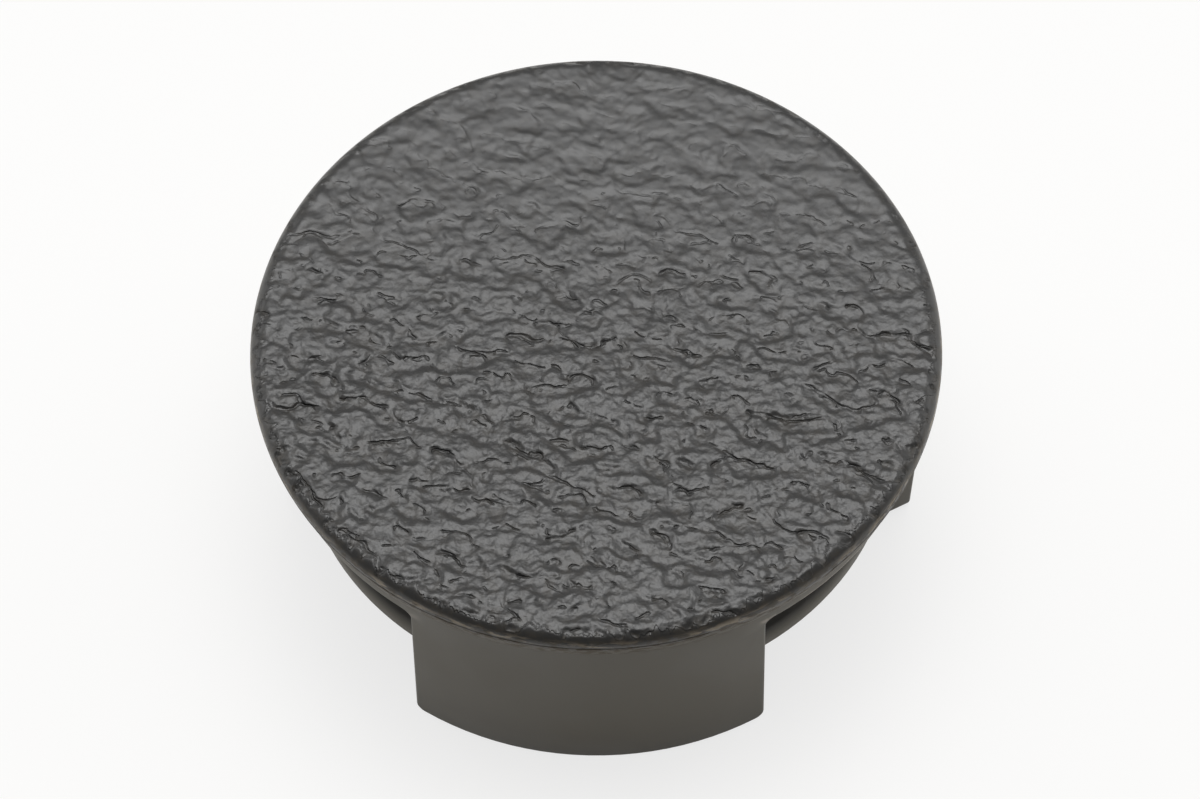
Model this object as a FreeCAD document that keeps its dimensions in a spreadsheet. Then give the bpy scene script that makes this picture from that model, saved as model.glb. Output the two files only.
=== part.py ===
"""Step cover cap: a round moulded plug with a rounded rim, a skirt and three wide legs.

The cap is one moulding. Its origin lies under the centre of the cover, on the plane of the legs' feet,
with +Z up through the show face and one leg centred on -Y. All lengths are millimetres.
"""

import FreeCAD, Part
import math
import os

import Sketcher

NODE = "cap"

# Driving sizes, one row each: name, value, what it is. Insets are measured inwards from the rim's widest line.
SIZES = [
    ("cap_height", 14.05, "feet to show face"),
    ("cover_diameter", 35.0, "widest line of the rim"),
    ("cover_wall", 2.2, "thickness of the cover"),
    ("edge_round", 0.85, "rounding between the show face and the rim"),
    ("rim_depth", 2.0, "show face to the rim's underside"),
    ("rim_foot_inset", 0.375, "edge of the rim's underside"),
    ("skirt_inset", 0.6, "skirt where it leaves the rim"),
    ("skirt_taper", 0.7, "how much nearer the axis the skirt is at the feet"),
    ("skirt_edge_round", 0.2, "outer edge that runs round the legs and the land"),
    ("land_depth", 3.3, "show face to the land's lower edge, between the legs"),
    ("leg_count", 3, "legs, evenly spaced"),
    ("leg_width", 17.7, "across one leg, between its parallel sides"),
    ("leg_corner_round", 0.5, "lower corners of a leg, seen from outside"),
    ("leg_root_round", 0.45, "corners between a leg's side and the land"),
    ("ring_inset", 2.1, "recessed ring where it leaves the land"),
    ("ring_taper", 0.15, "how much nearer the axis the ring is at its foot"),
    ("ring_depth", 9.1, "show face to the ring's lower edge"),
    ("ring_edge_bevel", 0.25, "lower outer edge of the ring, between the legs"),
    ("hollow_inset", 3.4, "hollow at the cover"),
    ("hollow_taper", 0.15, "how much further out the hollow is at the feet"),
    ("hollow_root_bevel", 0.5, "bevel in the corner of the hollow under the cover"),
    ("ejector_count", 3, "ejector pin marks under the cover, evenly spaced"),
    ("ejector_diameter", 3.0, "one ejector pin mark"),
    ("ejector_inset", 8.0, "centre of a mark"),
    ("ejector_sink", 0.12, "depth of a mark"),
]

# How far off a surface a point of an edge may lie and still count as on it.
ON_SURFACE = 0.002

# Where an edge is looked at, as shares of its length.
ALONG_EDGE = (0.0, 0.2, 0.5, 0.8, 1.0)

doc = FreeCAD.newDocument("StepCoverCap")


def make_sheet():
    """Writes the driving sizes into a spreadsheet, each with its name as alias."""
    sheet = doc.addObject("Spreadsheet::Sheet", "sizes")
    for row, (alias, value, meaning) in enumerate(SIZES, start=1):
        sheet.set(f"A{row}", meaning)
        sheet.set(f"B{row}", str(value))
        sheet.setAlias(f"B{row}", alias)
    doc.recompute()
    return sheet


sheet = make_sheet()


def value(expression):
    """The number that an expression gives with the sheet's sizes."""
    return float(sheet.evalExpression(expression))


# Heights above the feet, as expressions of the driving sizes.
FEET = "0"
FACE = "sizes.cap_height"
RIM_FOOT = "sizes.cap_height - sizes.rim_depth"
LAND_FOOT = "sizes.cap_height - sizes.land_depth"
RING_FOOT = "sizes.cap_height - sizes.ring_depth"
CEILING = "sizes.cap_height - sizes.cover_wall"

# Distances from the axis.
AXIS = "0"
RIM = "sizes.cover_diameter / 2"
BEYOND_RIM = "sizes.cover_diameter"

# The drafted wall of the skirt, as its lower and its upper (radius, height).
SKIRT = ((f"{RIM} - sizes.skirt_inset - sizes.skirt_taper", FEET), (f"{RIM} - sizes.skirt_inset", RIM_FOOT))


# Sketches


def origin_item(body, role):
    """The body's own origin plane or axis with this role."""
    return next(item for item in body.Origin.OriginFeatures if item.Role == role)


def new_sketch(body, name, role):
    sketch = body.newObject("Sketcher::SketchObject", name)
    sketch.AttachmentSupport = [(origin_item(body, role), "")]
    sketch.MapMode = "FlatFace"
    return sketch


def place(across, up):
    return FreeCAD.Vector(value(across), value(up), 0)


def pin(sketch, geometry, point, across, up):
    """Places a point of the sketch at two distances from its origin, tied to the sheet."""
    for kind, expression in (("DistanceX", across), ("DistanceY", up)):
        if expression == "0":
            axis = -2 if kind == "DistanceX" else -1
            sketch.addConstraint(Sketcher.Constraint("PointOnObject", geometry, point, axis))
            continue
        constraint = Sketcher.Constraint(kind, -1, 1, geometry, point, value(expression))
        index = sketch.addConstraint(constraint)
        sketch.setExpression(f"Constraints[{index}]", expression)


def join(sketch, first, second):
    """Joins the end of one line to the start of the next."""
    sketch.addConstraint(Sketcher.Constraint("Coincident", first, 2, second, 1))


def draw_quarter_round(sketch, before, after):
    """Joins two lines at right angles by a quarter circle that touches both."""
    line = sketch.Geometry[before]
    start, end = line.EndPoint, sketch.Geometry[after].StartPoint
    along = (start - line.StartPoint).normalize()
    centre = end - along * along.dot(end - start)
    turns_left = along.cross(end - start).z > 0
    first = (start if turns_left else end) - centre
    angle = math.atan2(first.y, first.x)
    circle = Part.Circle(centre, FreeCAD.Vector(0, 0, 1), first.Length)
    arc = sketch.addGeometry(Part.ArcOfCircle(circle, angle, angle + math.pi / 2), False)
    near, far = (1, 2) if turns_left else (2, 1)
    sketch.addConstraint(Sketcher.Constraint("Tangent", before, 2, arc, near))
    sketch.addConstraint(Sketcher.Constraint("Coincident", arc, far, after, 1))


def draw_outline(sketch, runs):
    """Draws a closed outline of straight runs, each from one point to another.

    Where a run starts away from the end of the one before, a quarter circle joins the two.
    """
    lines = [Part.LineSegment(place(*start), place(*end)) for start, end in runs]
    lines = [sketch.addGeometry(line, False) for line in lines]
    for index, (start, end) in enumerate(runs):
        following = (index + 1) % len(runs)
        pin(sketch, lines[index], 1, *start)
        if end == runs[following][0]:
            join(sketch, lines[index], lines[following])
        else:
            pin(sketch, lines[index], 2, *end)
            draw_quarter_round(sketch, lines[index], lines[following])


def draw_corners(sketch, corners):
    """Draws a closed outline with sharp corners."""
    draw_outline(sketch, list(zip(corners, corners[1:] + corners[:1])))


def draw_land_section(sketch):
    """Half section of the disc that the land is made from, before its taper."""
    draw_corners(sketch, [(AXIS, LAND_FOOT), (RIM, LAND_FOOT), (RIM, RIM_FOOT), (AXIS, RIM_FOOT)])


def draw_taper_section(sketch):
    """Half section of what is taken off outside the skirt, so that the legs and the land are flush."""
    foot, root = SKIRT
    draw_corners(sketch, [foot, (BEYOND_RIM, FEET), (BEYOND_RIM, RIM_FOOT), root])


def draw_ring_section(sketch):
    """Half section of the recessed ring, solid to the axis until the hollow is cut."""
    bevel = "sizes.ring_edge_bevel"
    root = f"{RIM} - sizes.ring_inset"
    foot = f"{root} - sizes.ring_taper"
    wall = [(f"{foot} - {bevel}", RING_FOOT), (foot, f"{RING_FOOT} + {bevel}"), (root, LAND_FOOT)]
    draw_corners(sketch, [(AXIS, RING_FOOT), *wall, (AXIS, LAND_FOOT)])


def draw_hollow_section(sketch):
    bevel = "sizes.hollow_root_bevel"
    root = f"{RIM} - sizes.hollow_inset"
    foot = f"{root} + sizes.hollow_taper"
    wall = [(foot, FEET), (root, f"{CEILING} - {bevel}"), (f"{root} - {bevel}", CEILING)]
    draw_corners(sketch, [(AXIS, FEET), *wall, (AXIS, CEILING)])


def draw_cover_section(sketch):
    """Half section of the cover: show face, rounded edge, and a flank that runs in to its foot."""
    radius = value("sizes.edge_round")
    round_centre = (f"{RIM} - sizes.edge_round", f"{FACE} - sizes.edge_round")
    rim_foot = (f"{RIM} - sizes.rim_foot_inset", RIM_FOOT)
    centre = place(*round_centre)
    foot = place(*rim_foot)
    top = place(AXIS, FACE)
    bottom = place(AXIS, RIM_FOOT)
    to_foot = foot - centre
    lean = math.atan2(to_foot.y, to_foot.x) + math.acos(radius / to_foot.Length)
    touch = centre + FreeCAD.Vector(math.cos(lean), math.sin(lean), 0) * radius
    crest = centre + FreeCAD.Vector(0, radius, 0)
    circle = Part.Circle(centre, FreeCAD.Vector(0, 0, 1), radius)
    underside = sketch.addGeometry(Part.LineSegment(bottom, foot), False)
    flank = sketch.addGeometry(Part.LineSegment(foot, touch), False)
    edge = sketch.addGeometry(Part.ArcOfCircle(circle, lean, math.pi / 2), False)
    face = sketch.addGeometry(Part.LineSegment(crest, top), False)
    axis = sketch.addGeometry(Part.LineSegment(top, bottom), False)
    join(sketch, underside, flank)
    sketch.addConstraint(Sketcher.Constraint("Tangent", flank, 2, edge, 1))
    sketch.addConstraint(Sketcher.Constraint("Tangent", edge, 2, face, 1))
    join(sketch, face, axis)
    join(sketch, axis, underside)
    pin(sketch, underside, 1, AXIS, RIM_FOOT)
    pin(sketch, flank, 1, *rim_foot)
    pin(sketch, edge, 3, *round_centre)
    pin(sketch, face, 2, AXIS, FACE)
    sketch.addConstraint(Sketcher.Constraint("Horizontal", face))


def draw_leg_outline(sketch):
    """A leg seen from outside, hanging from a strip of the land that its roots run out into."""
    side = "(sizes.leg_width / 2)"
    corner = "sizes.leg_corner_round"
    root = "sizes.leg_root_round"
    strip = f"({side} + 2 * {root})"
    foot_line = ((f"{corner} - {side}", FEET), (f"{side} - {corner}", FEET))
    right_side = ((side, corner), (side, f"{LAND_FOOT} - {root}"))
    right_land = ((f"{side} + {root}", LAND_FOOT), (strip, LAND_FOOT))
    right_end = ((strip, LAND_FOOT), (strip, RIM_FOOT))
    top = ((strip, RIM_FOOT), (f"-{strip}", RIM_FOOT))
    left_end = ((f"-{strip}", RIM_FOOT), (f"-{strip}", LAND_FOOT))
    left_land = ((f"-{strip}", LAND_FOOT), (f"-{side} - {root}", LAND_FOOT))
    left_side = ((f"-{side}", f"{LAND_FOOT} - {root}"), (f"-{side}", corner))
    draw_outline(sketch, [foot_line, right_side, right_land, right_end, top, left_end, left_land, left_side])


def draw_ejector_outline(sketch):
    """One mark, at the middle of a gap between two legs."""
    inwards = f"{RIM} - sizes.ejector_inset"
    circle = Part.Circle(place(AXIS, inwards), FreeCAD.Vector(0, 0, 1), value("sizes.ejector_diameter / 2"))
    mark = sketch.addGeometry(circle, False)
    pin(sketch, mark, 3, AXIS, inwards)
    index = sketch.addConstraint(Sketcher.Constraint("Diameter", mark, value("sizes.ejector_diameter")))
    sketch.setExpression(f"Constraints[{index}]", "sizes.ejector_diameter")


# Features


def revolve(body, kind, name, draw):
    """Turns a half section right round the body's axis, as material or as a cut."""
    section = new_sketch(body, name + "Section", "XZ_Plane")
    draw(section)
    feature = body.newObject("PartDesign::" + kind, name)
    feature.Profile = section
    feature.ReferenceAxis = (section, ["V_Axis"])
    feature.Angle = 360
    doc.recompute()
    return feature


def must_take_away(cut, before):
    if cut.Shape.Volume >= before:
        raise ValueError(cut.Name + " cut nothing")


def cut_round(body, name, draw):
    """Turns a half section off the body, and stops if that takes nothing away."""
    before = body.Tip.Shape.Volume
    must_take_away(revolve(body, "Groove", name, draw), before)


def repeat_round(body, name, feature, count):
    """Repeats a feature evenly round the body's axis."""
    pattern = body.newObject("PartDesign::PolarPattern", name)
    pattern.Originals = [feature]
    pattern.Axis = (origin_item(body, "Z_Axis"), [""])
    pattern.Angle = 360
    pattern.setExpression("Occurrences", count)
    body.Tip = pattern
    doc.recompute()


def add_legs(body):
    """Makes the front leg from the axis out to the rim, and repeats it round the axis.

    The taper cut later brings its outside to the skirt, and the hollow opens the middle.
    """
    sketch = new_sketch(body, "LegOutline", "XZ_Plane")
    draw_leg_outline(sketch)
    leg = body.newObject("PartDesign::Pad", "Leg")
    leg.Profile = sketch
    leg.setExpression("Length", RIM)
    doc.recompute()
    repeat_round(body, "Legs", leg, "sizes.leg_count")


def mark_ejectors(body):
    """Sinks the round marks that the ejector pins leave in the ceiling of the hollow."""
    before = body.Tip.Shape.Volume
    sketch = new_sketch(body, "EjectorOutline", "XY_Plane")
    sketch.setExpression("AttachmentOffset.Base.z", CEILING)
    draw_ejector_outline(sketch)
    cut = body.newObject("PartDesign::Pocket", "EjectorMark")
    cut.Profile = sketch
    cut.Reversed = True
    cut.setExpression("Length", "sizes.ejector_sink")
    doc.recompute()
    must_take_away(cut, before)
    repeat_round(body, "EjectorMarks", cut, "sizes.ejector_count")


# The rounded edge of the legs


def on_skirt_edge(edge):
    """Whether an edge is part of the skirt's lower edge, which runs down round each leg."""
    (foot_radius, foot), (root_radius, root) = [[value(part) for part in end] for end in SKIRT]
    first, last = edge.ParameterRange
    for share in ALONG_EDGE:
        spot = edge.valueAt(first + share * (last - first))
        radius = foot_radius + (root_radius - foot_radius) * (spot.z - foot) / (root - foot)
        if abs(math.hypot(spot.x, spot.y) - radius) > ON_SURFACE or spot.z > root - ON_SURFACE:
            return False
    return True


def round_skirt_edge(body):
    base = body.Tip
    numbered = enumerate(base.Shape.Edges, start=1)
    names = [f"Edge{number}" for number, edge in numbered if on_skirt_edge(edge)]
    if not names:
        raise ValueError("no edge of the skirt to round")
    fillet = body.newObject("PartDesign::Fillet", "SkirtEdge")
    fillet.Base = (base, names)
    fillet.setExpression("Radius", "sizes.skirt_edge_round")
    doc.recompute()


# The cap


def make_cap():
    body = doc.addObject("PartDesign::Body", "Cap")
    body.Label = NODE
    revolve(body, "Revolution", "Land", draw_land_section)
    add_legs(body)
    cut_round(body, "SkirtTaper", draw_taper_section)
    revolve(body, "Revolution", "Cover", draw_cover_section)
    revolve(body, "Revolution", "Ring", draw_ring_section)
    cut_round(body, "Hollow", draw_hollow_section)
    round_skirt_edge(body)
    mark_ejectors(body)
    return body


def check(body):
    """Stops if any object of the document failed, or if the cap isn't one sound solid."""
    for item in doc.Objects:
        if "Invalid" in item.State or "Error" in item.State:
            raise ValueError(item.Name + " failed")
    if body.Shape.isNull() or not body.Shape.isValid():
        raise ValueError(body.Label + " isn't sound")
    if len(body.Shape.Solids) != 1:
        raise ValueError(body.Label + " isn't one solid")


cap = make_cap()
doc.recompute()
check(cap)
os.makedirs("parts", exist_ok=True)
cap.Shape.exportStep(f"parts/{cap.Label}.step")
print(cap.Label, "volume", round(cap.Shape.Volume, 1), "faces", len(cap.Shape.Faces))
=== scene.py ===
"""Looks of the step cover cap: one moulding of black plastic with a leather grain on its show face."""

import math

import bmesh
import bpy
from mathutils import Matrix, Vector


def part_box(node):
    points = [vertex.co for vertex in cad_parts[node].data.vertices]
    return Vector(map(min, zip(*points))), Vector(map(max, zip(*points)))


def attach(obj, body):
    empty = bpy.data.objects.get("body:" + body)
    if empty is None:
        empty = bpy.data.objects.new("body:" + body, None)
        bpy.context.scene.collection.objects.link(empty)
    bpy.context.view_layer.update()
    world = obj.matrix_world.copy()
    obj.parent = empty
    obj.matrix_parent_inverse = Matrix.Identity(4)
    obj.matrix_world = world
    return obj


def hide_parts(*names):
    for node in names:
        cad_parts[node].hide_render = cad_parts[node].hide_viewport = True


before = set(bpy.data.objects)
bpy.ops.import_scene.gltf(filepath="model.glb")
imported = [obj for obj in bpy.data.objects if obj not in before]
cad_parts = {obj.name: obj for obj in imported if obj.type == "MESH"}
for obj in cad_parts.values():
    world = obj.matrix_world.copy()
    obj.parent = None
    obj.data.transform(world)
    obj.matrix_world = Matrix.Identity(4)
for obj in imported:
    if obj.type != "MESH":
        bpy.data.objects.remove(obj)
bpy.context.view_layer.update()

MM = 0.001

# The cap's cover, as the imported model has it: the radius of its edge, and the height where the edge meets the
# flank. The faces of the cover lie wholly above COVER_FROM.
foot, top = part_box("cap")
HEIGHT = top.z
RADIUS = min(top.x, top.y, -foot.x, -foot.y)
EDGE_ROUND = 0.85 * MM
FLANK_TOP = 12.9 * MM
COVER_FROM = FLANK_TOP - 0.002 * MM
ROUND_TURN = math.pi / 2 + math.asin((HEIGHT - EDGE_ROUND - FLANK_TOP) / EDGE_ROUND)

# The show face is a triangle grid of rings about its centre, in six sectors.
SECTORS = 6
RINGS = 158
ROUND_ROWS = 15
SHARP_EDGE = math.radians(35)
WELD = 0.001 * MM

# The texture sheet, in millimetres: places for the cover and the underside, for thirds of the outer walls and
# of the hollow, and for the six sides of the legs. A face's normal says whether it is underside or wall.
SHEET_SIZE = 86.0
THIRD = 2 * math.pi / 3
DISCS = [(19.0, 19.0), (56.5, 19.0)]
OUTSIDE_RADIUS = 17.2
OUTSIDE_STRIPS = [(19.5, 39.0), (59.0, 39.0), (19.5, 53.0)]
HOLLOW_RADIUS = 14.2
HOLLOW_STRIPS = [(57.0, 53.0), (16.5, 67.0), (49.5, 67.0)]
LEG_SIDES = (67.0, 67.0)
LEG_SIDE_PITCH = 3.1
LEG_SIDE_FROM = 14.0
UNDERSIDE_FACING = -0.6
WALL_FACING = 0.5

# The camera, seen from the middle of the show face.
VIEW_TURN = math.radians(2.45)
VIEW_RISE = math.radians(57.66)
VIEW_ROLL = math.radians(-0.8765)
VIEW_DISTANCE = 0.385
PHOTO_WIDTH, PHOTO_HEIGHT = 1200, 799
FOCAL_PIXELS = 7629.2
FACE_CENTRE_PIXEL = (595.96, 340.27)
SENSOR_WIDTH = 36.0

# The material's and the grain's places are in millimetres.
TO_MM = (1 / MM, 1 / MM, 1 / MM)

# The grain, in millimetres and cells per millimetre. It is turned, stretched and bent twice: scale, reach.
GRAIN_FLOW = math.radians(12)
GRAIN_STRETCH = (0.7, 1.0, 1.0)
GRAIN_BENDS = [
    (0.9, 0.6),
    (2.2, 0.25),
]

# It reaches part of the way over the edge and ends raggedly.
GRAIN_REACH = 0.50
GRAIN_FADE = 0.1
RAGGED = 2.3
RAGGED_TURNS = 26.0
RAGGED_DETAIL = 3.0
RAGGED_REACH = 0.22

# Between two places from front to back it falls to a share of its depth, the detail more than the relief.
SHALLOW_FROM, SHALLOW_TO = -6.0, 14.0
SHALLOW_RELIEF, SHALLOW_DETAIL = 0.45, 0.08

# Islands: scale, rise, softness of their far edges and of their near ones. They stand where a field of noise
# is above a level. Near edges are those where the field rises over a step away from the camera.
ISLAND_LEVEL = 0.48
NEAR_STEP = 0.2
NEAR_RISE = 0.4
ISLANDS = [
    (0.50, 0.072, 0.09, 0.040),
    (1.00, 0.058, 0.08, 0.040),
]

# Swells: scale, depth. They go from their depth to none between two levels of the noise.
SWELL_LEVELS = (0.25, 0.75)
SWELLS = [
    (0.80, 0.06),
    (2.2, 0.05),
]

# Creases: scale of the islands that they border, width, depth. They show in patches finer than the islands.
CREASE_PATCH_SCALE = 1.4
CREASE_PATCHES = (1.0, 0.44, 0.54)
CREASES = [
    (0.50, 0.028, 0.070),
    (1.00, 0.045, 0.062),
]

# Bumps: scale, depth
BUMPS = [
    (1.6, 0.035),
    (3.2, 0.035),
    (7.0, 0.012),
]

# Colours and finish of the show face and of the walls, which have faint clouds. Clouds, patches and streaks
# are each given as the scale and detail of their noise, and its two levels where they start and are full.
FACE_COLOUR = (0.036, 0.036, 0.036)
FACE_ROUGHNESS = 0.30
FACE_SHINE = 0.55
# Paler and warmer than the show face of the same plastic, the walls' colours carry painted light: the warm
# floor light that they reflect.
WALL_COLOUR = (0.067, 0.056, 0.033)
WALL_ROUGHNESS = 0.34
WALL_SHINE = 0.42
WALL_CLOUD_COLOUR = (0.074, 0.062, 0.037)
WALL_CLOUD_ROUGHNESS = 0.40
WALL_CLOUDS = (0.15, 3.0, 0.35, 0.65)

# The recessed ring between the legs, in millimetres, known by its radius and by facing outwards. Its wall
# rounds inwards and takes on a painted shade between two levels, and goes on at a steady slope.
RING_OUTSIDE = (15.8, 16.0)
RING_FACING = (0.8, 0.95)
SHOULDER_FROM, SHOULDER_TO = 5.5, 7.0
SHOULDER_SLOPE = 0.7
RECESS_SHADE_COLOUR = (0.021, 0.018, 0.013)

# The line where the mould parts, at the cover's widest, in millimetres
PARTING_LEVEL = (HEIGHT - EDGE_ROUND) / MM
PARTING_WIDTH = 0.13
PARTING_DEPTH = 0.05
PARTING_PATCHES = (0.12, 2.0, 0.42, 0.50)
PARTING_COLOUR = (0.026, 0.018, 0.009)

# Scuffs round the rim, in millimetres
SCUFF_LEVEL = 12.6
SCUFF_REACH = 1.7
SCUFF_STRETCH = (1.0, 1.0, 1.5)
SCUFF_PATCHES = (1.7, 3.0, 0.46, 0.60)
SCUFF_LEAST = 0.3
SCUFF_DEPTH = 0.02
SCUFF_COLOUR = (0.100, 0.081, 0.056)
SCUFF_ROUGHER = 0.2
SCUFF_SHINE = 0.12
STREAK_ROUGHNESS = 0.6

# Pale scrapes just above the parting line, in millimetres
SCRAPE_LEVEL = 13.36
SCRAPE_REACH = 0.34
SCRAPE_STRETCH = (0.6, 0.6, 3.5)
SCRAPE_STREAKS = (1.5, 4.0, 0.47, 0.57)
SCRAPE_PATCHES = (0.25, 1.0, 0.42, 0.58)
SCRAPE_LEAST = 0.25
SCRAPE_COLOUR = (0.27, 0.225, 0.165)

# A painted highlight on the land's rounded lower edge, for the floor's light it reflects, in millimetres.
# How far the surface faces down says where the edge starts and where it ends.
GLINT_LEVEL = 10.75
GLINT_REACH = 0.4
GLINT_FROM_WALL = (-0.14, -0.07)
GLINT_TO_UNDERSIDE = (-0.9, -0.7)
GLINT_PATCHES = (0.2, 2.0, 0.45, 0.55)
PAINTED_GLINT_COLOUR = (0.75, 0.64, 0.56)

# Faint upright marks on the walls from drawing the mould off, in millimetres
DRAW_STRETCH = (1.0, 1.0, 0.15)
DRAW_SCALE = 1.5
DRAW_DETAIL = 2.0
DRAW_DEPTH = 0.006

# The floor card, and the shares of it that glow white for the camera and for the plastic's gloss
FLOOR_REACH = 3.0
FLOOR_NEAR = 35 * MM
FLOOR_COLOUR = (0.94, 0.93, 0.90)
FLOOR_ROUGHNESS = 0.9
FLOOR_GLOW_SEEN, FLOOR_GLOW_MIRRORED = 0.75, 0.40

# The light all round, dim on the camera's side and growing towards the back. The camera sees the tone of the
# far floor in its place.
BACK_LIGHT = 0.265
FRONT_LIGHT = 0.06
BACK_LIGHT_FULL = 0.6
BEYOND_FLOOR = 0.982

# The soft lights: turn from straight behind, height above the floor, focus, level
LAMPS = [
    (0, math.radians(77), 13, 5.6),
    (math.radians(65), math.radians(20), 14, 1.5),
    (math.radians(-65), math.radians(20), 14, 1.5),
]


# The show face and its rounded edge


def ring_points(radius, height, count):
    turns = [2 * math.pi * i / count for i in range(count)]
    return [Vector((radius * math.sin(t), -radius * math.cos(t), height)) for t in turns]


def add_show_face(mesh):
    """Adds the flat face as a grid of triangles, and returns the points round its edge."""
    flat_radius = RADIUS - EDGE_ROUND
    inner = [mesh.verts.new((0, 0, HEIGHT))]
    for ring in range(1, RINGS + 1):
        radius = flat_radius * ring / RINGS
        outer = [mesh.verts.new(p) for p in ring_points(radius, HEIGHT, SECTORS * ring)]
        for sector in range(SECTORS):
            for step in range(ring):
                a = outer[sector * ring + step]
                b = outer[(sector * ring + step + 1) % len(outer)]
                c = inner[(sector * (ring - 1) + step) % len(inner)]
                mesh.faces.new((a, b, c))
                if step < ring - 1:
                    d = inner[(sector * (ring - 1) + step + 1) % len(inner)]
                    mesh.faces.new((c, b, d))
        inner = outer
    return inner


def add_round(mesh, upper):
    """Adds the rounded edge below the show face, and returns the points round its lower line."""
    centre_radius = RADIUS - EDGE_ROUND
    centre_height = HEIGHT - EDGE_ROUND
    for row in range(1, ROUND_ROWS + 1):
        turn = ROUND_TURN * row / ROUND_ROWS
        radius = centre_radius + EDGE_ROUND * math.sin(turn)
        height = centre_height + EDGE_ROUND * math.cos(turn)
        lower = [mesh.verts.new(p) for p in ring_points(radius, height, len(upper))]
        for i, point in enumerate(upper):
            after = (i + 1) % len(upper)
            mesh.faces.new((point, lower[i], lower[after], upper[after]))
        upper = lower
    return upper


def turn_of(point):
    """How far round the axis a point lies, from the front leg on."""
    return math.atan2(point.co.x, -point.co.y) % (2 * math.pi)


def zip_rings(mesh, upper, lower):
    """Joins two closed rings of points, of any counts, by a row of triangles."""
    upper = sorted(upper, key=turn_of)
    lower = sorted(lower, key=turn_of)
    i = j = 0
    while i < len(upper) or j < len(lower):
        a, b = upper[i % len(upper)], lower[j % len(lower)]
        next_a = turn_of(upper[i]) if i < len(upper) else math.inf
        next_b = turn_of(lower[j]) if j < len(lower) else math.inf
        if next_a <= next_b:
            mesh.faces.new((upper[i - 1], lower[j - 1], a))
            i += 1
        else:
            mesh.faces.new((upper[i - 1], lower[j - 1], b))
            j += 1


# The texture sheet: each part of the surface has a place on it, all at one scale


def radius_of(point):
    return math.hypot(point.x, point.y)


def bearing_of(point, from_bearing=0.0):
    """How far round the axis a point lies from a bearing, at most half a turn either way."""
    turn = math.atan2(point.x, -point.y) - from_bearing
    return (turn + math.pi) % (2 * math.pi) - math.pi


def on_cover(face):
    """Whether a face belongs to the show face or its rounded edge."""
    return min(v.co.z for v in face.verts) > COVER_FROM


def on_cover_disc(point):
    """The show face and its edge spread out flat about their centre, by their length along the surface."""
    radius = radius_of(point)
    spread = radius
    if radius > RADIUS - EDGE_ROUND:
        turn = math.atan2(radius - (RADIUS - EDGE_ROUND), point.z - (HEIGHT - EDGE_ROUND))
        spread = RADIUS - EDGE_ROUND + EDGE_ROUND * turn
    scale = spread / radius if radius else 0.0
    return DISCS[0][0] + point.x * scale / MM, DISCS[0][1] + point.y * scale / MM


def on_underside_disc(point):
    return DISCS[1][0] + point.x / MM, DISCS[1][1] + point.y / MM


def on_strip(point, centre, strips, radius):
    """A third of a wall that runs round, rolled out flat: the third that the face's centre lies on."""
    third = round(bearing_of(centre) / THIRD) % 3
    across, base = strips[third]
    return across + radius * bearing_of(point, third * THIRD), base + point.z / MM


def on_leg_side(point, centre):
    """One of the six sides of the legs."""
    third = round(bearing_of(centre) / THIRD) % 3
    side = 2 * third + (bearing_of(centre, third * THIRD) > 0)
    inwards = radius_of(point) / MM - LEG_SIDE_FROM
    return LEG_SIDES[0] + side * LEG_SIDE_PITCH + inwards, LEG_SIDES[1] + point.z / MM


def sheet_place(face, point):
    """Where a point of a face lies on the sheet, by where the face is and which way it faces."""
    centre = face.calc_center_median()
    if on_cover(face):
        return on_cover_disc(point)
    if face.normal.z < UNDERSIDE_FACING:
        return on_underside_disc(point)
    outward = face.normal.dot(Vector((centre.x, centre.y, 0)).normalized())
    if outward > WALL_FACING:
        return on_strip(point, centre, OUTSIDE_STRIPS, OUTSIDE_RADIUS)
    if outward < -WALL_FACING:
        return on_strip(point, centre, HOLLOW_STRIPS, HOLLOW_RADIUS)
    return on_leg_side(point, centre)


def lay_out_sheet(mesh):
    sheet = mesh.loops.layers.uv.new("OFBake")
    for face in mesh.faces:
        for corner in face.loops:
            u, v = sheet_place(face, corner.vert.co)
            corner[sheet].uv = (u / SHEET_SIZE, v / SHEET_SIZE)


# The moulding


def make_moulding():
    """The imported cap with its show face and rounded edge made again, fine enough for the grain."""
    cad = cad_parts["cap"]
    mesh = bmesh.new()
    mesh.from_mesh(cad.data)
    bmesh.ops.remove_doubles(mesh, verts=mesh.verts, dist=WELD)
    cover = [f for f in mesh.faces if on_cover(f)]
    bmesh.ops.delete(mesh, geom=cover, context="FACES")
    rim = {v for e in mesh.edges if e.is_boundary for v in e.verts}
    edge = add_round(mesh, add_show_face(mesh))
    zip_rings(mesh, edge, rim)
    bmesh.ops.recalc_face_normals(mesh, faces=mesh.faces)
    lay_out_sheet(mesh)
    for face in mesh.faces:
        face.smooth = True
    for edge in mesh.edges:
        edge.smooth = edge.calc_face_angle(0.0) < SHARP_EDGE
    data = bpy.data.meshes.new("moulding")
    mesh.to_mesh(data)
    mesh.free()
    moulding = bpy.data.objects.new("cap_moulding", data)
    bpy.context.scene.collection.objects.link(moulding)
    return moulding


# Node helpers, the same for a material's tree and for a modifier's


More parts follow.
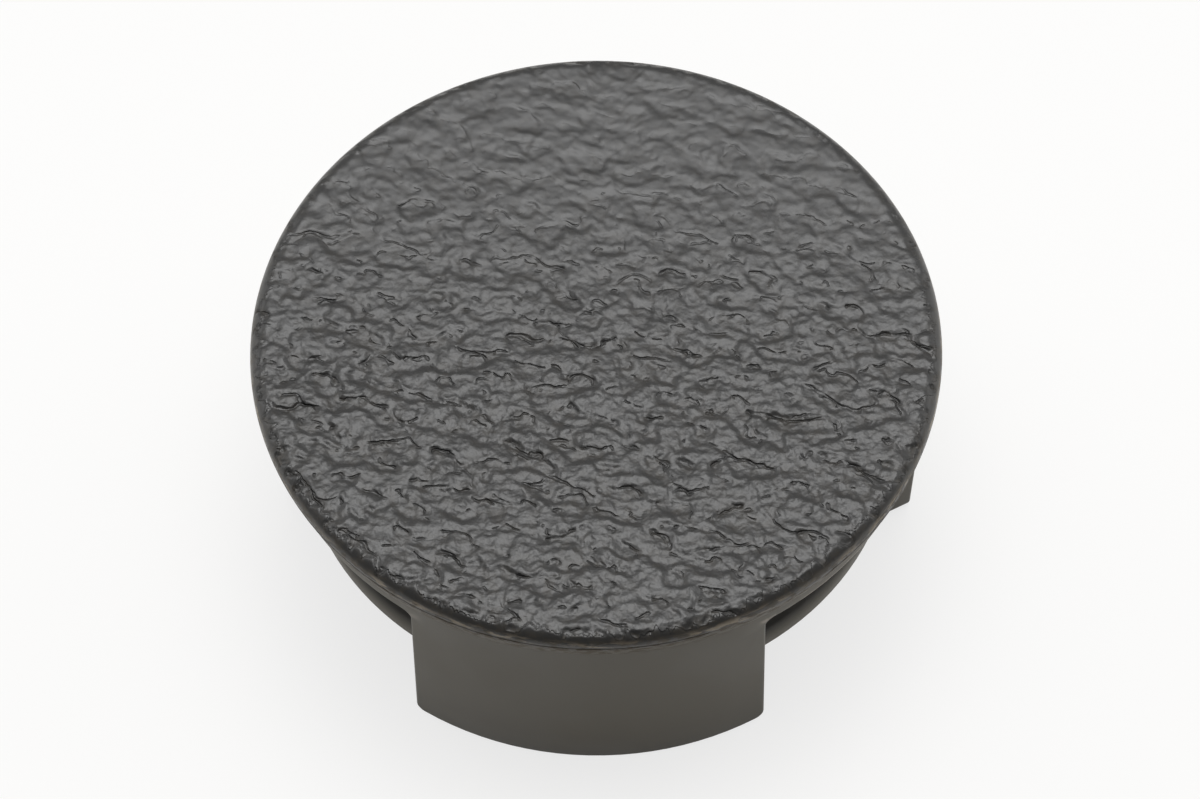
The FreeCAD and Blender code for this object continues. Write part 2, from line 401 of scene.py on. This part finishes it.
class Nodes:
    """Adds nodes to a tree and wires them. A value may be a socket or a plain number or tuple."""

    def __init__(self, tree):
        self.tree = tree

    def wire(self, value, socket):
        if isinstance(value, bpy.types.NodeSocket):
            self.tree.links.new(value, socket)
        else:
            socket.default_value = value

    def add(self, kind, values=(), **settings):
        """Adds a node with its settings, and fills its sockets: values holds (name or index, value) pairs."""
        node = self.tree.nodes.new(kind)
        for name, setting in settings.items():
            setattr(node, name, setting)
        for name, value in values:
            self.wire(value, node.inputs[name])
        return node

    def math(self, operation, *values):
        return self.add("ShaderNodeMath", enumerate(values), operation=operation).outputs[0]

    def shift(self, place, by):
        return self.add("ShaderNodeVectorMath", enumerate((place, by)), operation="ADD").outputs[0]

    def stretch(self, place, by):
        return self.add("ShaderNodeVectorMath", enumerate((place, by)), operation="MULTIPLY").outputs[0]

    def turn(self, place, angle):
        return self.add("ShaderNodeVectorRotate", [("Vector", place), ("Angle", angle)]).outputs[0]

    def split(self, place):
        return self.add("ShaderNodeSeparateXYZ", [(0, place)]).outputs

    def noise(self, place, scale, detail=1.0, rough=0.5):
        values = [("Vector", place), ("Scale", scale), ("Detail", detail), ("Roughness", rough)]
        return self.add("ShaderNodeTexNoise", values).outputs

    def ease(self, value, low, high, at_low=0.0, at_high=1.0):
        """Goes smoothly from one level to another as the value goes from low to high."""
        levels = [("Value", value), (1, low), (2, high), (3, at_low), (4, at_high)]
        return self.add("ShaderNodeMapRange", levels, interpolation_type="SMOOTHSTEP").outputs[0]

    def patches(self, place, scale, detail, start, full, least=0.0, rough=0.5):
        """1 in random patches, and the least share between them."""
        return self.ease(self.noise(place, scale, detail, rough)[0], start, full, least, 1.0)

    def blend(self, share, first, second):
        """Mixes two colours."""
        values = [(0, share), (6, first), (7, second)]
        return self.add("ShaderNodeMix", values, data_type="RGBA").outputs[2]


# The grain: heights in millimetres, from a place in millimetres


def bend(nodes, place, scale, reach):
    """Bends a place about by smooth noise, so that what is drawn there is crooked."""
    colour = nodes.noise(place, scale)[1]
    centred = nodes.shift(colour, (-0.5, -0.5, -0.5))
    return nodes.shift(place, nodes.stretch(centred, (reach, reach, reach)))


def grain_place(nodes, place):
    """The place turned, stretched and bent, so that the grain runs a little aslant, long and crooked."""
    place = nodes.stretch(nodes.turn(place, GRAIN_FLOW), GRAIN_STRETCH)
    for scale, reach in GRAIN_BENDS:
        place = bend(nodes, place, scale, reach)
    return place


def island_field(nodes, crooked, scale):
    """A smooth random field, above ISLAND_LEVEL on islands, and how far it faces the camera, 0 to 1."""
    field = nodes.noise(crooked, scale)[0]
    beyond = nodes.noise(nodes.shift(crooked, (0, NEAR_STEP, 0)), scale)[0]
    rise = nodes.math("SUBTRACT", beyond, field)
    return field, nodes.ease(rise, 0.0, NEAR_STEP * scale * NEAR_RISE)


def grain_relief(nodes, place):
    """The grain's main forms, at most level with the face: crooked islands of two sizes, and swells."""
    crooked = grain_place(nodes, place)
    total = 0.0
    for scale, rise, far_softness, near_softness in ISLANDS:
        field, near = island_field(nodes, crooked, scale)
        softness = nodes.ease(near, 0.0, 1.0, far_softness, near_softness)
        low = nodes.math("SUBTRACT", ISLAND_LEVEL, softness)
        high = nodes.math("ADD", ISLAND_LEVEL, softness)
        total = nodes.math("ADD", nodes.ease(field, low, high, -rise, 0.0), total)
    for scale, depth in SWELLS:
        swell = nodes.noise(place, scale)[0]
        total = nodes.math("ADD", nodes.ease(swell, *SWELL_LEVELS, -depth, 0.0), total)
    return total


def grain_detail(nodes, place):
    """Short crisp creases along the near edges of the islands, and fine bumps."""
    crooked = grain_place(nodes, place)
    total = 0.0
    for scale, width, depth in CREASES:
        field, near = island_field(nodes, crooked, scale)
        off_line = nodes.math("ABSOLUTE", nodes.math("SUBTRACT", field, ISLAND_LEVEL - width))
        share = nodes.patches(place, scale * CREASE_PATCH_SCALE, *CREASE_PATCHES)
        share = nodes.math("MULTIPLY", share, near)
        groove = nodes.ease(off_line, 0.0, width, 1.0, 0.0)
        cut = nodes.math("MULTIPLY", nodes.math("MULTIPLY", groove, share), -depth)
        total = nodes.math("ADD", cut, total)
    for scale, depth in BUMPS:
        bump = nodes.noise(place, scale)[0]
        total = nodes.math("ADD", nodes.math("MULTIPLY", bump, depth), total)
    return total


def radius_at(nodes, place):
    x, y = nodes.split(place)[:2]
    return nodes.math("SQRT", nodes.math("ADD", nodes.math("MULTIPLY", x, x), nodes.math("MULTIPLY", y, y)))


def grained_share(nodes, place):
    """1 on the show face, falling to 0 raggedly part of the way over its rounded edge, and 0 below that."""
    radius = radius_at(nodes, place)
    flat = nodes.stretch(place, (1, 1, 0))
    bearing = nodes.add("ShaderNodeVectorMath", [(0, flat)], operation="NORMALIZE").outputs[0]
    ragged = nodes.math("SUBTRACT", nodes.noise(bearing, RAGGED_TURNS, RAGGED_DETAIL)[0], 0.5)
    ragged = nodes.math("MAXIMUM", nodes.math("MULTIPLY", ragged, RAGGED), -RAGGED_REACH)
    edge = (RADIUS - EDGE_ROUND) / MM + GRAIN_REACH
    inside = nodes.ease(nodes.math("ADD", radius, ragged), edge - GRAIN_FADE, edge, 1.0, 0.0)
    return nodes.math("MULTIPLY", inside, nodes.math("GREATER_THAN", nodes.split(place)[2], FLANK_TOP / MM))


def grain_strength(nodes, place, share_at_back):
    """The grain's depth as a share: the photograph shows it shallower and softer towards the back."""
    return nodes.ease(nodes.split(place)[1], SHALLOW_FROM, SHALLOW_TO, 1.0, share_at_back)


def press_grain(moulding):
    """Sinks the show face and its edge by the grain's relief."""
    tree = bpy.data.node_groups.new("press_grain", "GeometryNodeTree")
    tree.interface.new_socket("Geometry", in_out="INPUT", socket_type="NodeSocketGeometry")
    tree.interface.new_socket("Geometry", in_out="OUTPUT", socket_type="NodeSocketGeometry")
    nodes = Nodes(tree)
    place = nodes.stretch(nodes.add("GeometryNodeInputPosition").outputs[0], TO_MM)
    relief = nodes.math("MULTIPLY", grain_relief(nodes, place), grained_share(nodes, place))
    relief = nodes.math("MULTIPLY", relief, grain_strength(nodes, place, SHALLOW_RELIEF))
    depth = nodes.math("MULTIPLY", relief, MM)
    normal = nodes.add("GeometryNodeInputNormal").outputs[0]
    offset = nodes.add("ShaderNodeVectorMath", [(0, normal), ("Scale", depth)], operation="SCALE").outputs[0]
    source = nodes.add("NodeGroupInput").outputs[0]
    moved = nodes.add("GeometryNodeSetPosition", [("Geometry", source), ("Offset", offset)]).outputs[0]
    nodes.add("NodeGroupOutput", [(0, moved)])
    modifier = moulding.modifiers.new("press_grain", "NODES")
    modifier.node_group = tree
    shaped = moulding.evaluated_get(bpy.context.evaluated_depsgraph_get())
    moulding.data = bpy.data.meshes.new_from_object(shaped)
    moulding.modifiers.clear()


# The material


def near_level(nodes, height, level, reach):
    """1 at a level, falling to 0 at a reach above and below it."""
    return nodes.ease(nodes.math("ABSOLUTE", nodes.math("SUBTRACT", height, level)), 0.0, reach, 1.0, 0.0)


def ring_share(nodes, place):
    """1 on the recessed ring's wall, which faces outwards inside the land, and 0 elsewhere."""
    radius = radius_at(nodes, place)
    normal = nodes.add("ShaderNodeNewGeometry").outputs["Normal"]
    along = nodes.add("ShaderNodeVectorMath", enumerate((normal, place)), operation="DOT_PRODUCT").outputs[1]
    sunk = nodes.math("MULTIPLY", nodes.split(normal)[2], nodes.split(place)[2])
    outward = nodes.math("DIVIDE", nodes.math("SUBTRACT", along, sunk), radius)
    facing = nodes.ease(outward, *RING_FACING)
    return nodes.math("MULTIPLY", facing, nodes.ease(radius, *RING_OUTSIDE, 1.0, 0.0))


def ring_shoulder(nodes, place):
    """The recessed ring's rounded shoulder: how far its wall falls back, above the level where it starts."""
    above = nodes.math("MAXIMUM", nodes.math("SUBTRACT", nodes.split(place)[2], SHOULDER_FROM), 0.0)
    span = SHOULDER_TO - SHOULDER_FROM
    rounded = nodes.math("MINIMUM", above, span)
    fall = nodes.math("MULTIPLY", nodes.math("MULTIPLY", rounded, rounded), 0.5 / span)
    fall = nodes.math("ADD", fall, nodes.math("SUBTRACT", above, rounded))
    return nodes.math("MULTIPLY", nodes.math("MULTIPLY", fall, ring_share(nodes, place)), -SHOULDER_SLOPE)


def smooth_detail(nodes, place):
    """The smooth surfaces' heights, and where the parting line and the scuffs are, 0 to 1."""
    height = nodes.split(place)[2]
    present = nodes.patches(place, *PARTING_PATCHES)
    line = nodes.math("MULTIPLY", near_level(nodes, height, PARTING_LEVEL, PARTING_WIDTH), present)
    wide = nodes.stretch(place, SCUFF_STRETCH)
    streaks = nodes.patches(wide, *SCUFF_PATCHES, SCUFF_LEAST, STREAK_ROUGHNESS)
    scuffed = nodes.math("MULTIPLY", streaks, near_level(nodes, height, SCUFF_LEVEL, SCUFF_REACH))
    marks = nodes.noise(nodes.stretch(place, DRAW_STRETCH), DRAW_SCALE, DRAW_DETAIL)[0]
    heights = nodes.math("MULTIPLY", line, -PARTING_DEPTH)
    heights = nodes.math("ADD", heights, nodes.math("MULTIPLY", scuffed, SCUFF_DEPTH))
    heights = nodes.math("ADD", heights, nodes.math("MULTIPLY", marks, DRAW_DEPTH))
    heights = nodes.math("ADD", heights, ring_shoulder(nodes, place))
    return heights, line, scuffed


def scraped_share(nodes, place):
    """1 in streaky patches just above the parting line, and 0 elsewhere."""
    long = nodes.stretch(place, SCRAPE_STRETCH)
    streaks = nodes.patches(long, *SCRAPE_STREAKS, rough=STREAK_ROUGHNESS)
    patches = nodes.patches(place, *SCRAPE_PATCHES, SCRAPE_LEAST)
    there = near_level(nodes, nodes.split(place)[2], SCRAPE_LEVEL, SCRAPE_REACH)
    return nodes.math("MULTIPLY", nodes.math("MULTIPLY", streaks, patches), there)


def painted_glint_share(nodes, place):
    """1 on stretches of the land's rounded lower edge that turn downwards, as a painted highlight; 0 elsewhere.
    """
    facing = nodes.split(nodes.add("ShaderNodeNewGeometry").outputs["Normal"])[2]
    past_wall = nodes.ease(facing, *GLINT_FROM_WALL, 1.0, 0.0)
    before_underside = nodes.ease(facing, *GLINT_TO_UNDERSIDE)
    turned = nodes.math("MULTIPLY", past_wall, before_underside)
    there = near_level(nodes, nodes.split(place)[2], GLINT_LEVEL, GLINT_REACH)
    stretches = nodes.patches(place, *GLINT_PATCHES)
    return nodes.math("MULTIPLY", nodes.math("MULTIPLY", turned, there), stretches)


def make_plastic():
    material = bpy.data.materials.new("moulded_black_plastic")
    material.use_nodes = True
    nodes = Nodes(material.node_tree)
    shader = material.node_tree.nodes["Principled BSDF"]
    metres = nodes.add("ShaderNodeTexCoord").outputs["Object"]
    place = nodes.stretch(metres, TO_MM)
    height = nodes.split(place)[2]
    grained = grained_share(nodes, place)
    smooth, line, scuffed = smooth_detail(nodes, place)
    grain = nodes.math("MULTIPLY", grain_detail(nodes, place), grain_strength(nodes, place, SHALLOW_DETAIL))
    grain = nodes.math("MULTIPLY", grain, grained)
    plain = nodes.math("MULTIPLY", smooth, nodes.math("SUBTRACT", 1.0, grained))
    heights = nodes.math("MULTIPLY", nodes.math("ADD", grain, plain), MM)
    bump = nodes.add("ShaderNodeBump", [("Strength", 1.0), ("Distance", 1.0), ("Height", heights)])
    nodes.wire(bump.outputs[0], shader.inputs["Normal"])
    cover = nodes.ease(height, FLANK_TOP / MM, PARTING_LEVEL)
    clouds = nodes.patches(place, *WALL_CLOUDS)
    # The wall colours carry painted light of the warm floor that they reflect, and faint random clouds
    walls = nodes.blend(clouds, (*WALL_COLOUR, 1), (*WALL_CLOUD_COLOUR, 1))
    # Painted shade darkens the upper part of the recessed ring's wall, where the cover overhangs it
    shoulder = nodes.ease(height, SHOULDER_FROM, SHOULDER_TO)
    recess = nodes.math("MULTIPLY", ring_share(nodes, place), shoulder)
    walls = nodes.blend(recess, walls, (*RECESS_SHADE_COLOUR, 1))
    colour = nodes.blend(cover, walls, (*FACE_COLOUR, 1))
    colour = nodes.blend(scuffed, colour, (*SCUFF_COLOUR, 1))
    colour = nodes.blend(scraped_share(nodes, place), colour, (*SCRAPE_COLOUR, 1))
    colour = nodes.blend(line, colour, (*PARTING_COLOUR, 1))
    # Painted highlight on the land's lower edge, standing in for the floor's light that it reflects
    colour = nodes.blend(painted_glint_share(nodes, place), colour, (*PAINTED_GLINT_COLOUR, 1))
    nodes.wire(colour, shader.inputs["Base Color"])
    wall_finish = nodes.ease(clouds, 0.0, 1.0, WALL_ROUGHNESS, WALL_CLOUD_ROUGHNESS)
    finish = nodes.ease(cover, 0.0, 1.0, wall_finish, FACE_ROUGHNESS)
    finish = nodes.math("ADD", finish, nodes.math("MULTIPLY", scuffed, SCUFF_ROUGHER))
    nodes.wire(finish, shader.inputs["Roughness"])
    shine = nodes.ease(cover, 0.0, 1.0, WALL_SHINE, FACE_SHINE)
    nodes.wire(nodes.ease(scuffed, 0.0, 1.0, shine, SCUFF_SHINE), shader.inputs["Specular IOR Level"])
    return material


# The studio


def add_floor():
    """A wide sheet of white card, whose near edge lies just outside the view.

    What the camera and the plastic's gloss see of it is partly plain white, so that its shadow stays soft.
    """
    mesh = bmesh.new()
    near, far = -RADIUS - FLOOR_NEAR, FLOOR_REACH
    corners = [(-FLOOR_REACH, near), (FLOOR_REACH, near), (FLOOR_REACH, far), (-FLOOR_REACH, far)]
    mesh.faces.new([mesh.verts.new((x, y, 0)) for x, y in corners])
    data = bpy.data.meshes.new("floor")
    mesh.to_mesh(data)
    mesh.free()
    floor = bpy.data.objects.new("floor", data)
    bpy.context.scene.collection.objects.link(floor)
    material = bpy.data.materials.new("white_floor")
    material.use_nodes = True
    shader = material.node_tree.nodes["Principled BSDF"]
    shader.inputs["Base Color"].default_value = (*FLOOR_COLOUR, 1)
    shader.inputs["Roughness"].default_value = FLOOR_ROUGHNESS
    shader.inputs["Specular IOR Level"].default_value = 0.0
    nodes = Nodes(material.node_tree)
    rays = nodes.add("ShaderNodeLightPath").outputs
    seen = nodes.math("MULTIPLY", rays["Is Camera Ray"], FLOOR_GLOW_SEEN)
    mirrored = nodes.math("MULTIPLY", rays["Is Glossy Ray"], FLOOR_GLOW_MIRRORED)
    white = nodes.add("ShaderNodeEmission").outputs[0]
    share = nodes.math("MAXIMUM", seen, mirrored)
    mixed = nodes.add("ShaderNodeMixShader", [(0, share), (1, shader.outputs[0]), (2, white)]).outputs[0]
    nodes.wire(mixed, material.node_tree.nodes["Material Output"].inputs["Surface"])
    data.materials.append(material)


def add_world():
    """Soft lights overhead and at the sides, and dimmer light all round, most of it from behind."""
    world = bpy.data.worlds.new("studio")
    bpy.context.scene.world = world
    world.use_nodes = True
    nodes = Nodes(world.node_tree)
    background = world.node_tree.nodes["Background"]
    direction = nodes.add("ShaderNodeTexCoord").outputs["Generated"]
    behind = nodes.split(direction)[1]
    strength = nodes.ease(behind, 0.0, BACK_LIGHT_FULL, FRONT_LIGHT, BACK_LIGHT)
    for turn, rise, focus, level in LAMPS:
        lamp = (math.sin(turn) * math.cos(rise), math.cos(turn) * math.cos(rise), math.sin(rise))
        values = enumerate((direction, lamp))
        facing = nodes.add("ShaderNodeVectorMath", values, operation="DOT_PRODUCT").outputs[1]
        spread = nodes.math("POWER", nodes.math("MAXIMUM", facing, 0.0), focus)
        strength = nodes.math("ADD", strength, nodes.math("MULTIPLY", spread, level))
    seen = nodes.add("ShaderNodeLightPath").outputs["Is Camera Ray"]
    shown = nodes.add("ShaderNodeMix", [(0, seen), (2, strength), (3, BEYOND_FLOOR)]).outputs[0]
    background.inputs["Color"].default_value = (1, 1, 1, 1)
    nodes.wire(shown, background.inputs["Strength"])


def add_camera():
    """Stands the camera off the middle of the show face, and turns it until that point falls on its pixel."""
    data = bpy.data.cameras.new("camera")
    data.sensor_width = SENSOR_WIDTH
    data.lens = FOCAL_PIXELS / PHOTO_WIDTH * SENSOR_WIDTH
    camera = bpy.data.objects.new("camera", data)
    bpy.context.scene.collection.objects.link(camera)
    target = Vector((0, 0, HEIGHT))
    level = Vector((math.sin(VIEW_TURN), -math.cos(VIEW_TURN), 0))
    back = level * math.cos(VIEW_RISE) + Vector((0, 0, math.sin(VIEW_RISE)))
    across = (FACE_CENTRE_PIXEL[0] - PHOTO_WIDTH / 2) / FOCAL_PIXELS
    down = (FACE_CENTRE_PIXEL[1] - PHOTO_HEIGHT / 2) / FOCAL_PIXELS
    facing = back.to_track_quat("Z", "Y").to_matrix()
    turned = facing @ Matrix.Rotation(VIEW_ROLL, 3, "Z")
    turned = turned @ Matrix.Rotation(math.atan(across), 3, "Y") @ Matrix.Rotation(math.atan(down), 3, "X")
    camera.matrix_world = Matrix.Translation(target + back * VIEW_DISTANCE) @ turned.to_4x4()
    bpy.context.scene.camera = camera


def make_piece():
    moulding = make_moulding()
    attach(moulding, "root")
    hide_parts("cap")
    press_grain(moulding)
    moulding.data.materials.append(make_plastic())


make_piece()
add_floor()
add_world()
add_camera()
bpy.context.scene.view_settings.view_transform = "Standard"
